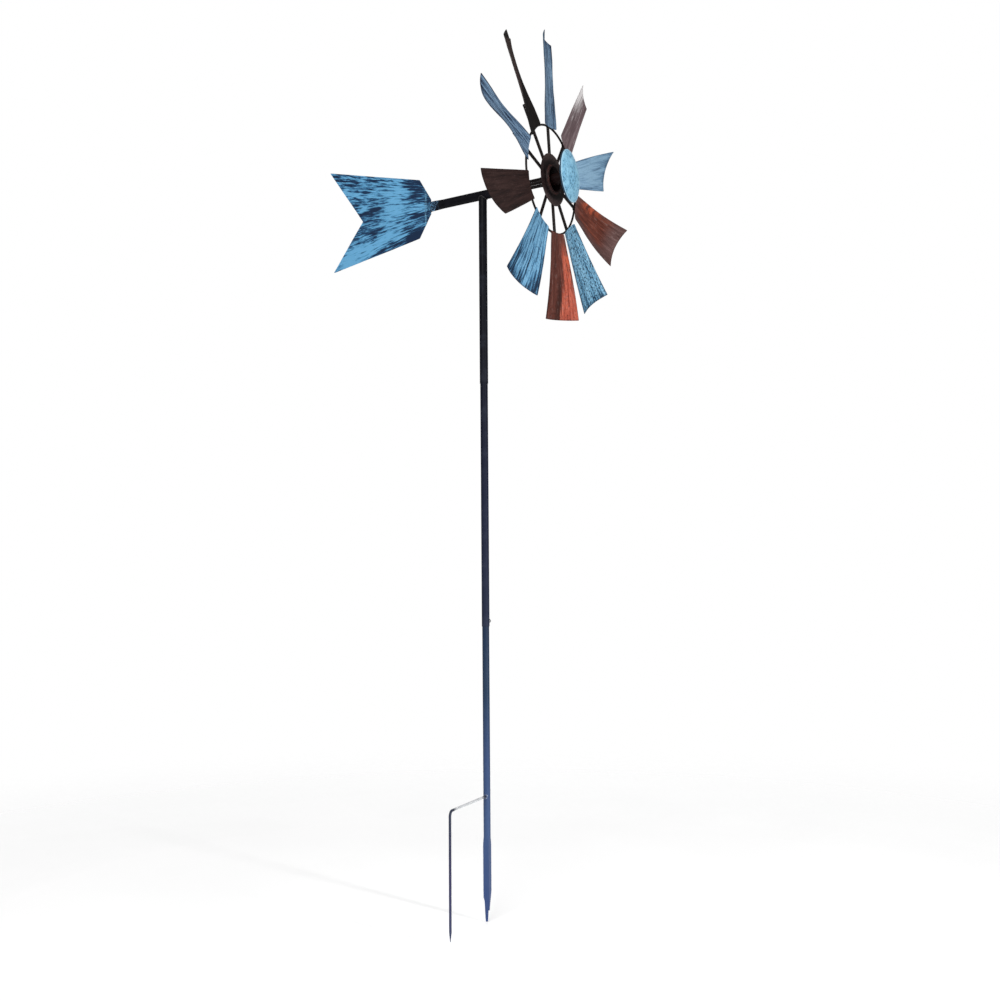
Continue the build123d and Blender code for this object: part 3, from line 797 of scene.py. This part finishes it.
def make_blade(number, front, back, slot):
    """One blade: a thin closed sheet, curled and twisted, with small dents and soft edges."""
    rows = [0, 0.004, 0.010, 0.018, 0.030] + [between(0.05, 0.975, k / 42) for k in range(43)]
    rows += [0.985, 0.992, 0.997, 1.0]
    sides = [-1 + 2 * k / 28 for k in range(29)]
    wide = len(sides)
    grid = [[blade_point(number, share, side) for side in sides] for share in rows]
    angle = blade_angle(number)
    backs, fronts, uvs = [], [], []
    for r in range(len(rows)):
        for k in range(wide):
            along = grid[min(r + 1, len(rows) - 1)][k][0] - grid[max(r - 1, 0)][k][0]
            across = grid[r][min(k + 1, wide - 1)][0] - grid[r][max(k - 1, 0)][0]
            normal = across.cross(along).normalized()
            point, uv = grid[r][k]
            backs.append(on_wheel(point, angle))
            fronts.append(on_wheel(point + normal * BLADE_THICKNESS, angle))
            uvs.append(uv)
    count = len(backs)
    faces, kinds = [], []
    for r in range(len(rows) - 1):
        for k in range(wide - 1):
            a = r * wide + k
            quad = (a, a + 1, a + wide + 1, a + wide)
            faces.append(tuple(count + v for v in quad))
            faces.append(tuple(reversed(quad)))
            kinds += [0, 1]
    last = (len(rows) - 1) * wide
    border = list(range(wide)) + [r * wide + wide - 1 for r in range(1, len(rows))]
    border += [last + k for k in range(wide - 2, -1, -1)] + [r * wide for r in range(len(rows) - 2, 0, -1)]
    for k, first in enumerate(border):
        second = border[(k + 1) % len(border)]
        faces.append((first, second, count + second, count + first))
        kinds.append(0)
    piece = add_piece(
        f"blade_panel_{number:02d}", backs + fronts, faces, "wheel", slot, [front, back], uvs + uvs, kinds
    )
    soften(piece, 0.22 * MM, 50)
    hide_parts(f"blade_{number:02d}")


def make_blades():
    backs = {
        0: blade_back("brown_blade_back", 8, (40, 27, 25), (72, 52, 48)),
        1: blade_back("blue_blade_back", 5, (36, 60, 84), (84, 130, 162)),
    }
    for number in range(1, BLADE_COUNT + 1):
        if number in BLUE_BLADES:
            front = blue_blade(f"blue_blade_{number:02d}", number, *BLUE_BLADES[number])
        else:
            front = brown_blade(f"brown_blade_{number:02d}", number, *BROWN_BLADES[number])
        slot = "blade_blue" if number in BLUE_BLADES else "blade_brown"
        make_blade(number, front, backs[number % 2], slot)


def make_wheel_welds(material):
    """Hoop joints, tacks that hold the spokes to the dish, and tacks behind the blades."""
    length = BLADE_TIP_RADIUS - BLADE_ROOT_RADIUS
    on_rods = ("wheel", "wheel_black", material)
    on_dish = ("wheel", "hub_brown", material)
    for number in range(1, BLADE_COUNT + 1):
        angle = blade_angle(number)
        hoop = []
        for k in range(15):
            turn = math.radians(between(-3.1, 3.1, k / 14))
            place = (-0.9 * MM, HOOP_RADIUS * math.sin(turn), HOOP_RADIUS * math.cos(turn))
            hoop.append(on_wheel(place, angle))
        weld_bead(f"hoop_weld_{number:02d}", hoop, 1.9 * MM, on_rods, seed=number)
        for label, side in (("a", -1), ("b", 1)):
            ends = (SPOKE_START + 1.5 * MM, DISH_RADIUS - 2.5 * MM)
            tack = straight(*(on_wheel((0.9 * MM, side * 2.3 * MM, end), angle) for end in ends), 18)
            weld_bead(f"dish_tack_{number:02d}{label}", tack, 1 * MM, on_dish, seed=number * 7)
            seam = []
            for k in range(18):
                reach = SPOKE_END - between(13, 1, k / 17) * MM
                _, chord, forward = blade_frame(number, (reach - BLADE_ROOT_RADIUS) / length)
                place = Vector((SPOKE_PLANE, 0, reach)) + forward * 1.9 * MM + chord * side * 1.7 * MM
                seam.append(on_wheel(place, angle))
            weld_bead(f"blade_tack_{number:02d}{label}", seam, 0.85 * MM, on_rods, seed=number * 5)


def make_cap_shell(material):
    """Domed cap, a little askew, with a short turned-back skirt and the faint unevenness of a pressing."""
    dome = (CAP_RADIUS ** 2 + CAP_RISE ** 2) / (2 * CAP_RISE)
    centre = CAP_RIM + CAP_RISE - dome
    edge = math.asin(CAP_RADIUS / dome)
    profile = []
    for k in range(1, 41):
        angle = edge * k / 40
        profile.append((centre + dome * math.cos(angle), dome * math.sin(angle)))
    lip = CAP_THICKNESS / 2
    skirt = CAP_RIM - CAP_SKIRT
    profile += [(between(CAP_RIM, skirt, k / 4), CAP_RADIUS) for k in range(1, 5)]
    for k in range(1, 6):
        turn = math.pi * k / 6
        profile.append((skirt - lip * math.sin(turn), CAP_RADIUS - lip + lip * math.cos(turn)))
    profile += [(between(skirt, CAP_RIM - lip, k / 3), CAP_RADIUS - CAP_THICKNESS) for k in range(3)]
    inner = dome - CAP_THICKNESS
    inner_edge = math.asin((CAP_RADIUS - CAP_THICKNESS) / inner)
    for k in range(40, 0, -1):
        angle = inner_edge * k / 40
        profile.append((centre + inner * math.cos(angle), inner * math.sin(angle)))
    rings = []
    for x, radius in profile:
        ring = []
        for turn in turns(CAP_SIDES):
            flat = Vector((0, radius * math.cos(turn), radius * math.sin(turn)))
            hammered = noise.noise(flat * 60) * 0.30 * MM * smooth(radius / (12 * MM))
            place = Matrix.Rotation(CAP_TILT, 3, "Z") @ (Vector((x + hammered - CAP_RIM, 0, 0)) + flat)
            ring.append(place + Vector((CAP_RIM, 0, BOOM_HEIGHT)))
        rings.append(ring)
    uvs = [(radius, x - CAP_RIM) for x, radius in profile for _ in range(CAP_SIDES)]
    uvs += [(0, profile[0][0] - CAP_RIM), (0, profile[-1][0] - CAP_RIM)]
    piece = add_piece("cap_shell", *loft(rings), "wheel", "cap_blue", [material], uvs)
    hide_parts("cap")


# --- boom and tail ---


def make_boom_tube(material):
    """Boom with its front end open round the axle plug and its rear end pinched onto the tail."""
    rings = []
    steps = [between(PINCH_START, BOOM_FRONT - 0.4 * MM, k / 30) for k in range(31)]
    rear = [between(BOOM_REAR, PINCH_START, k / 18) for k in range(18)]
    for x in rear + steps:
        pinch = smooth((PINCH_START - x) / (PINCH_START - BOOM_REAR - 5 * MM))
        half_y = between(BOOM_RADIUS, PINCH_HALF_WIDTH, pinch)
        half_z = between(BOOM_RADIUS, PINCH_HALF_HEIGHT, pinch)
        power = between(1.0, 0.75, pinch)
        ring = []
        for turn in turns(BOOM_SIDES):
            y = math.copysign(abs(math.cos(turn)) ** power, math.cos(turn)) * half_y
            z = math.copysign(abs(math.sin(turn)) ** power, math.sin(turn)) * half_z
            lump = noise.noise(Vector((x * 260, y * 260, z * 260))) * 0.45 * MM * pinch
            ring.append(Vector((x, y + math.copysign(lump, y), BOOM_HEIGHT + z)))
        rings.append(ring)
    inner_rings = (
        (BOOM_FRONT, BOOM_RADIUS - 0.4 * MM),
        (BOOM_FRONT, BOOM_BORE_RADIUS + 0.1 * MM),
        (BOOM_FRONT - 0.2 * MM, BOOM_BORE_RADIUS),
        (BOOM_FRONT - 24 * MM, BOOM_BORE_RADIUS),
    )
    for x, radius in inner_rings:
        circle = ((radius * math.cos(turn), radius * math.sin(turn)) for turn in turns(BOOM_SIDES))
        rings.append([Vector((x, y, BOOM_HEIGHT + z)) for y, z in circle])
    piece = add_piece("boom_tube", *loft(rings), "head", "head_paint", [material])
    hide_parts("boom")


def rounded_outline(corners):
    """Closed outline through (x, z, radius) corners, with an arc of the given radius at each."""
    outline = []
    for k, (x, z, radius) in enumerate(corners):
        corner = Vector((x, z))
        before = Vector(corners[k - 1][:2]) - corner
        after = Vector(corners[(k + 1) % len(corners)][:2]) - corner
        half = before.angle(after) / 2
        first = corner + before.normalized() * (radius / math.tan(half))
        second = corner + after.normalized() * (radius / math.tan(half))
        centre = corner + (before.normalized() + after.normalized()).normalized() * (radius / math.sin(half))
        for step in range(CORNER_STEPS + 1):
            arm = (first - centre).lerp(second - centre, step / CORNER_STEPS)
            outline.append(centre + arm.normalized() * radius)
    return outline


def make_tail_panel(front, back):
    """Swallow-tail sheet, cut from one plate, faintly buckled, with a bend line near its front."""
    corners = [
        (TAIL_TAB_FRONT, BOOM_RADIUS - 1 * MM, 1.0 * MM),
        (TAIL_FRONT, BOOM_RADIUS - 1 * MM, 0.5 * MM),
        (TAIL_FRONT, TAIL_FRONT_HALF, 2.0 * MM),
        (TAIL_SHOULDER, TAIL_SHOULDER_HALF, 3.0 * MM),
        (*TAIL_TOP_TIP, 0.6 * MM),
        (TAIL_NOTCH, 0, 1.2 * MM),
        (*TAIL_BOTTOM_TIP, 0.6 * MM),
        (TAIL_SHOULDER, -TAIL_SHOULDER_HALF, 3.0 * MM),
        (TAIL_FRONT, -TAIL_FRONT_HALF, 2.0 * MM),
        (TAIL_FRONT, -BOOM_RADIUS + 1 * MM, 0.5 * MM),
        (TAIL_TAB_FRONT, -BOOM_RADIUS + 1 * MM, 1.0 * MM),
    ]
    work = bmesh.new()
    edge = [work.verts.new((x, 0, BOOM_HEIGHT + z)) for x, z in rounded_outline(corners)]
    work.faces.new(edge)
    extents = ((0, TAIL_TOP_TIP[0], TAIL_TAB_FRONT), (2, BOOM_HEIGHT - 0.09, BOOM_HEIGHT + 0.11))
    for axis, low, high in extents:
        direction = Vector((0, 0, 0))
        direction[axis] = 1
        for k in range(1, int((high - low) / TAIL_CELL)):
            cut = Vector((0, 0, 0))
            cut[axis] = low + k * TAIL_CELL
            every = work.verts[:] + work.edges[:] + work.faces[:]
            bmesh.ops.bisect_plane(work, geom=every, plane_co=cut, plane_no=direction)
    for vertex in work.verts:
        x, _, z = vertex.co
        loose = smooth((TAIL_FRONT - x) / 0.08)
        wave = noise.noise(Vector((x * 11, 0, z * 13))) * 1.6
        wave += noise.noise(Vector((x * 38, 5, z * 42))) * 0.35
        crease = math.exp(-(((x - TAIL_CREASE) / (1.1 * MM)) ** 2)) * 0.35
        crease *= smooth((TAIL_FRONT - x) / (3 * MM))
        vertex.co.y = (wave * loose + crease) * MM
    mesh = bpy.data.meshes.new("tail_panel")
    work.to_mesh(mesh)
    work.free()
    mesh.polygons.foreach_set("use_smooth", [True] * len(mesh.polygons))
    mesh.materials.append(front)
    mesh.materials.append(back)
    piece = add_object("tail_panel", mesh)
    sheet = piece.modifiers.new("sheet", "SOLIDIFY")
    sheet.thickness = TAIL_THICKNESS
    sheet.offset = 0
    sheet.use_even_offset = True
    sheet.material_offset = 1
    soften(piece, 0.25 * MM, 50)
    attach(piece, "head")
    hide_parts("tail_plate")


def make_head_welds(black, blue):
    """Saddle bead under the boom, and the lumpy beads that hold the tail's tab in the pinched boom."""
    on_boom = ("head", "head_paint", black)
    on_tail = ("head", "tail_paint", blue)
    saddle = []
    for turn in turns(96):
        y = HEAD_TUBE_RADIUS * math.sin(turn)
        drop = math.sqrt(BOOM_RADIUS ** 2 - y ** 2)
        saddle.append(Vector((HEAD_TUBE_RADIUS * math.cos(turn), y, BOOM_HEIGHT - drop)))
    weld_bead("saddle_weld", saddle, 1.35 * MM, on_boom, closed=True, seed=3)
    for label, side in (("near", -1), ("far", 1)):
        heights = (BOOM_HEIGHT - 9.5 * MM, BOOM_HEIGHT + 9.5 * MM)
        ends = [Vector((BOOM_REAR - 0.6 * MM, side * 0.9 * MM, height)) for height in heights]
        weld_bead(f"tail_weld_{label}", straight(*ends, 30), 1.5 * MM, on_tail, seed=side * 4)
        for row, height in enumerate((-5.2, -0.6, 4.6)):
            start = Vector((BOOM_REAR + 1 * MM, side * 2.0 * MM, BOOM_HEIGHT + height * MM))
            end = Vector((BOOM_REAR + 7.5 * MM, side * 3.1 * MM, BOOM_HEIGHT + (height + 0.9) * MM))
            dab = straight(start, end)
            weld_bead(f"tail_dab_{label}_{row}", dab, 1.25 * MM, on_tail, seed=row * 9 + side)
    for row, height in enumerate((-10.0, -4.6, 0.8, 6.4, 11.2)):
        for label, side in (("near", -1), ("far", 1)):
            middle = BOOM_HEIGHT + height * MM
            start = Vector((TAIL_CREASE - 0.2 * MM, side * 0.55 * MM, middle - 1.4 * MM))
            end = Vector((TAIL_CREASE + 0.4 * MM, side * 0.55 * MM, middle + 1.6 * MM))
            stitch = straight(start, end, 10)
            weld_bead(f"tail_stitch_{label}_{row}", stitch, 0.7 * MM, on_tail, seed=row * 3 + side)


# --- stake ---


def stake_place(x, y, z):
    """A place given in the stake's own turned frame."""
    return Matrix.Rotation(STAKE_TURN, 3, "Z") @ Vector((x, y, z))


def angle_outline(around):
    """Right-angled outline of the pressed blade, with as many points as the round tube."""
    half = SPIKE_THICKNESS / 2
    corners = [
        Vector((half, -half)),
        Vector((half, SPIKE_LEG)),
        Vector((-half, SPIKE_LEG)),
        Vector((-half, half)),
        Vector((-SPIKE_LEG, half)),
        Vector((-SPIKE_LEG, -half)),
    ]
    lengths = [(corners[(k + 1) % 6] - corners[k]).length for k in range(6)]
    whole = sum(lengths)
    outline = []
    for step in range(around):
        left = whole * step / around
        for k in range(6):
            if left <= lengths[k] or k == 5:
                outline.append(corners[k].lerp(corners[(k + 1) % 6], min(1.0, left / lengths[k])))
                break
            left -= lengths[k]
    return outline


def make_stake_tube(material):
    """Lowest mast tube: round above, crushed into a right-angled blade below ground."""
    angle = angle_outline(STAKE_SIDES)
    start = -math.pi / 4 + math.radians(4)
    heights = [LOWER_TUBE_TOP, LOWER_TUBE_TOP - 60 * MM, 0.24, 0.12, 0.04, 0.0, -0.02, -0.04]
    heights += [between(-0.046, -0.078, k / 20) for k in range(21)]
    heights += [-0.09, -0.11, -0.13, SPIKE_SHOULDER]
    rings = []
    for z in heights:
        crush = smooth((-0.048 - z) / 0.024)
        ring = []
        for turn, flat_place in zip(turns(STAKE_SIDES), angle):
            round_place = Vector((math.cos(start + turn), math.sin(start + turn))) * LOWER_TUBE_RADIUS
            place = round_place.lerp(flat_place + SPIKE_CORNER.xy, crush)
            ring.append(stake_place(place.x, place.y, z))
        rings.append(ring)
    piece = add_piece("stake_tube", *loft(rings), "mast", "stake_paint", [material])
    soften(piece, 0.25 * MM, 45)
    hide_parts("lower_tube")


def make_stake_points(material):
    """The ends of the pressed blade: a long shouldered one with a blunt tip, and a short slanted one."""
    half = SPIKE_THICKNESS / 2
    long_end = ((-143, -0.7, 9.2), (-153, -0.7, 9.2), (-155, -0.3, 8.3), (-157.2, 0.0, 7.4), (-174, 0.9, 6.4))
    long_end += ((-188.3, 1.6, 5.6), (-189.4, 2.1, 5.1), (-190, 2.9, 4.3))
    short_end = ((-143, -0.7, 9.2), (-144, -0.7, 9.2), (-158, -0.4, 5.4))
    short_end += ((-171.4, -0.2, 1.9), (-172.5, 0.2, 1.2))
    ends = ((Vector((-1, 0, 0)), long_end), (Vector((0, 1, 0)), short_end))
    for number, (outwards, profile) in enumerate(ends, 1):
        sideways = Vector((-outwards.y, outwards.x, 0))
        rings = []
        for k, (z, inside, outside) in enumerate(profile):
            thin = half * (0.7 if k == len(profile) - 1 else 1.0)
            height = z * MM + (0.8 * MM if k == 0 else 0)
            ring = []
            for across, depth in ((0, -1), (0.5, -1), (1, -1), (1, 1), (0.5, 1), (0, 1)):
                bulge = 1.10 if across == 0.5 else 1.0
                reach = between(inside, outside, across) * MM
                place = SPIKE_CORNER + outwards * reach + sideways * depth * thin * bulge
                ring.append(stake_place(place.x, place.y, height))
            rings.append(ring)
        piece = add_piece(f"stake_point_{number}", *loft(rings), "mast", "stake_paint", [material])
        soften(piece, 0.2 * MM, 35)


def make_stake_weld(material):
    """Bead round the step bar where it is butted against the lower tube."""
    on_stake = ("mast", "stake_paint", material)
    radius = PRONG_RADIUS + 0.7 * MM
    collar = []
    for turn in turns(48):
        x = radius * math.cos(turn)
        y = -math.sqrt(LOWER_TUBE_RADIUS ** 2 - x ** 2) - 0.2 * MM
        collar.append(stake_place(x, y, PRONG_HEIGHT + radius * math.sin(turn)))
    weld_bead("step_weld", collar, 1.25 * MM, on_stake, closed=True, seed=6)
    run = []
    for k in range(20):
        turn = math.radians(between(-96, -58, k / 19))
        x, y = LOWER_TUBE_RADIUS * math.cos(turn), LOWER_TUBE_RADIUS * math.sin(turn)
        run.append(stake_place(x, y, PRONG_HEIGHT + 1.6 * MM))
    weld_bead("step_weld_run", run, 1.1 * MM, on_stake, seed=8)


# --- carried-over nodes ---


def paint_cad_nodes():
    """Finished materials for the CAD nodes that stay as they are."""
    numbers = [f"{n:02d}" for n in range(1, BLADE_COUNT + 1)]
    spoke_paint = rod_enamel("wheel_black_brown", (13, 9, 9), (30, 21, 19), (62, 50, 45), 0.45, 0.15)
    paint_cad([f"spoke_{n}" for n in numbers], spoke_paint)
    paint_cad([f"hoop_arc_{n}" for n in numbers], spoke_paint)
    sleeve_paint = rod_enamel("hub_sleeve_dark", (20, 10, 10), (40, 20, 19), (60, 38, 34), 0.45, 0.15)
    paint_cad(["hub_sleeve", "cap_socket"], sleeve_paint)
    paint_cad(["hub_dish"], hub_paint())
    # painted light: one dark enamel, near black on the head tube and lightening down the middle tube as the
    # light falls
    head_light_gradient = [(0.0, (16, 17, 27)), (1.0, (11, 11, 16))]
    paint_cad(["head_tube"], tube_enamel("head_enamel", head_light_gradient, 0.685, 1.0, 0.5, 0.08))
    middle_light_gradient = [(0.0, (36, 42, 62)), (0.45, (27, 32, 52)), (1.0, (13, 15, 28))]
    paint_cad(["middle_tube"], tube_enamel("middle_enamel", middle_light_gradient, 0.28, 0.70, 0.5, 0.1))
    paint_cad(["prong"], prong_enamel())
    zinc = bright_steel("zinc_plated_steel", (176, 178, 182), 0.32)
    paint_cad(["joint_screw", "thrust_plug", "pivot_plug", "axle_plug", "axle"], zinc)
    paint_cad(["front_washer", "axle_nut"], zinc)
    paint_cad(["rear_washer"], rod_enamel("washer_black", (14, 13, 16), (30, 27, 30), (60, 56, 58)))
    paint_cad(["thrust_ball"], bright_steel("polished_steel", (206, 206, 210), 0.12))
    paint_cad(["rear_bush", "front_bush"], moulded_nylon())


# --- floor, light and camera ---


def make_floor():
    """Plain pale floor that fades out at its rim."""
    mesh = bpy.data.meshes.new("floor")
    work = bmesh.new()
    bmesh.ops.create_circle(work, cap_ends=True, segments=96, radius=FLOOR_RADIUS)
    work.to_mesh(mesh)
    work.free()
    floor = add_object("floor", mesh)
    floor.location = (0, 0, GROUND_STAND - 1 * MM)
    g = Graph("pale_floor")
    x, y, _ = g.split(g.place)
    g.colour = g.mix(g.ease(g.noise(3, 3, 0.5), 0.3, 0.7), (248, 248, 248), (252, 252, 252))
    alpha = g.ease(g.distance(x, y), FLOOR_RADIUS * 0.95, FLOOR_RADIUS * 0.15)
    glow = {"Emission Color": (255, 255, 255), "Emission Strength": 0.30}
    g.feed(g.shader.inputs, {**glow, "Alpha": alpha})
    mesh.materials.append(g.finish(0.9, 0))


def area_light(name, place, aim, width, height, power):
    light = bpy.data.lights.new(name, "AREA")
    light.shape = "RECTANGLE"
    light.size = width
    light.size_y = height
    light.energy = power
    lamp = add_object(name, light)
    lamp.visible_camera = False
    lamp.location = place
    lamp.rotation_euler = (Vector(aim) - Vector(place)).to_track_quat("-Z", "Y").to_euler()


def make_lights():
    """Large soft key by the camera, a tall strip on its right, and a weak fill on its left."""
    middle = (0, 0, 0.7)
    area_light("key", (0.5, -2.7, 1.9), middle, 1.5, 1.5, 56)
    area_light("strip", (2.3, -0.5, 0.75), (0, 0, 0.6), 0.16, 2.2, 34)
    area_light("front", (2.2, -1.4, 1.6), (0.13, 0, 1.0), 1.2, 1.2, 10)
    area_light("fill", (-2.4, -1.2, 1.0), middle, 1.4, 1.8, 6)
    area_light("rear", (-1.0, 2.6, 1.8), middle, 1.8, 1.8, 30)


def make_world():
    """White behind the object, and an even grey glow on it."""
    world = bpy.data.worlds.new("studio")
    bpy.context.scene.world = world
    world.use_nodes = True
    nodes, links = world.node_tree.nodes, world.node_tree.links
    glow, white = nodes["Background"], nodes.new("ShaderNodeBackground")
    for light, strength in ((glow, 0.18), (white, 1)):
        light.inputs["Color"].default_value = (1, 1, 1, 1)
        light.inputs["Strength"].default_value = strength
    rays, mix = nodes.new("ShaderNodeLightPath"), nodes.new("ShaderNodeMixShader")
    for number, output in enumerate((rays.outputs["Is Camera Ray"], glow.outputs[0], white.outputs[0])):
        links.new(output, mix.inputs[number])
    links.new(mix.outputs[0], nodes["World Output"].inputs["Surface"])


def make_camera():
    camera = bpy.data.cameras.new("camera")
    camera.sensor_width = 36
    camera.lens = CAMERA_LENS
    camera.clip_end = 100
    holder = add_object("camera", camera)
    level = math.cos(CAMERA_PITCH)
    right = Vector((math.cos(CAMERA_HEADING), math.sin(CAMERA_HEADING), 0))
    ahead = Vector((-right.y * level, right.x * level, math.sin(CAMERA_PITCH)))
    up = right.cross(ahead)
    turned_right = right * math.cos(CAMERA_ROLL) + up * math.sin(CAMERA_ROLL)
    turned_up = up * math.cos(CAMERA_ROLL) - right * math.sin(CAMERA_ROLL)
    turn = Matrix((turned_right, turned_up, -ahead)).transposed()
    holder.matrix_world = Matrix.Translation(CAMERA_PLACE) @ turn.to_4x4()
    bpy.context.scene.camera = holder


make_camera()
make_world()
make_lights()
make_floor()
paint_cad_nodes()

black_weld = weld_paint("black_weld", (20, 17, 20), (52, 44, 46), 0.3)
blue_weld = weld_paint("blue_speckled_weld", (24, 34, 50), (92, 142, 180), 0.55)
stake_weld = weld_paint("stake_weld", (84, 98, 130), (176, 184, 198), 0.6)
# painted light: the stake's dark enamel lightening to slate blue towards the ground
stake_light_gradient = [(0.0, (54, 73, 120)), (0.30, (62, 83, 122)), (0.48, (53, 72, 110))]
stake_light_gradient += [(0.68, (39, 57, 81)), (0.84, (32, 49, 73)), (1.0, (32, 36, 58))]

make_blades()
make_wheel_welds(black_weld)
make_cap_shell(cap_paint())
make_boom_tube(boom_enamel())
make_tail_panel(tail_paint("tail_brushed_blue", 0.0, 1.0), tail_paint("tail_brushed_blue_far", 0.37, 0.9))
make_head_welds(black_weld, blue_weld)
stake_enamel = tube_enamel("stake_enamel", stake_light_gradient, -0.19, 0.34, 0.42, 0.16)
make_stake_tube(stake_enamel)
make_stake_points(stake_enamel)
make_stake_weld(stake_weld)

bpy.context.scene.view_settings.view_transform = "Standard"
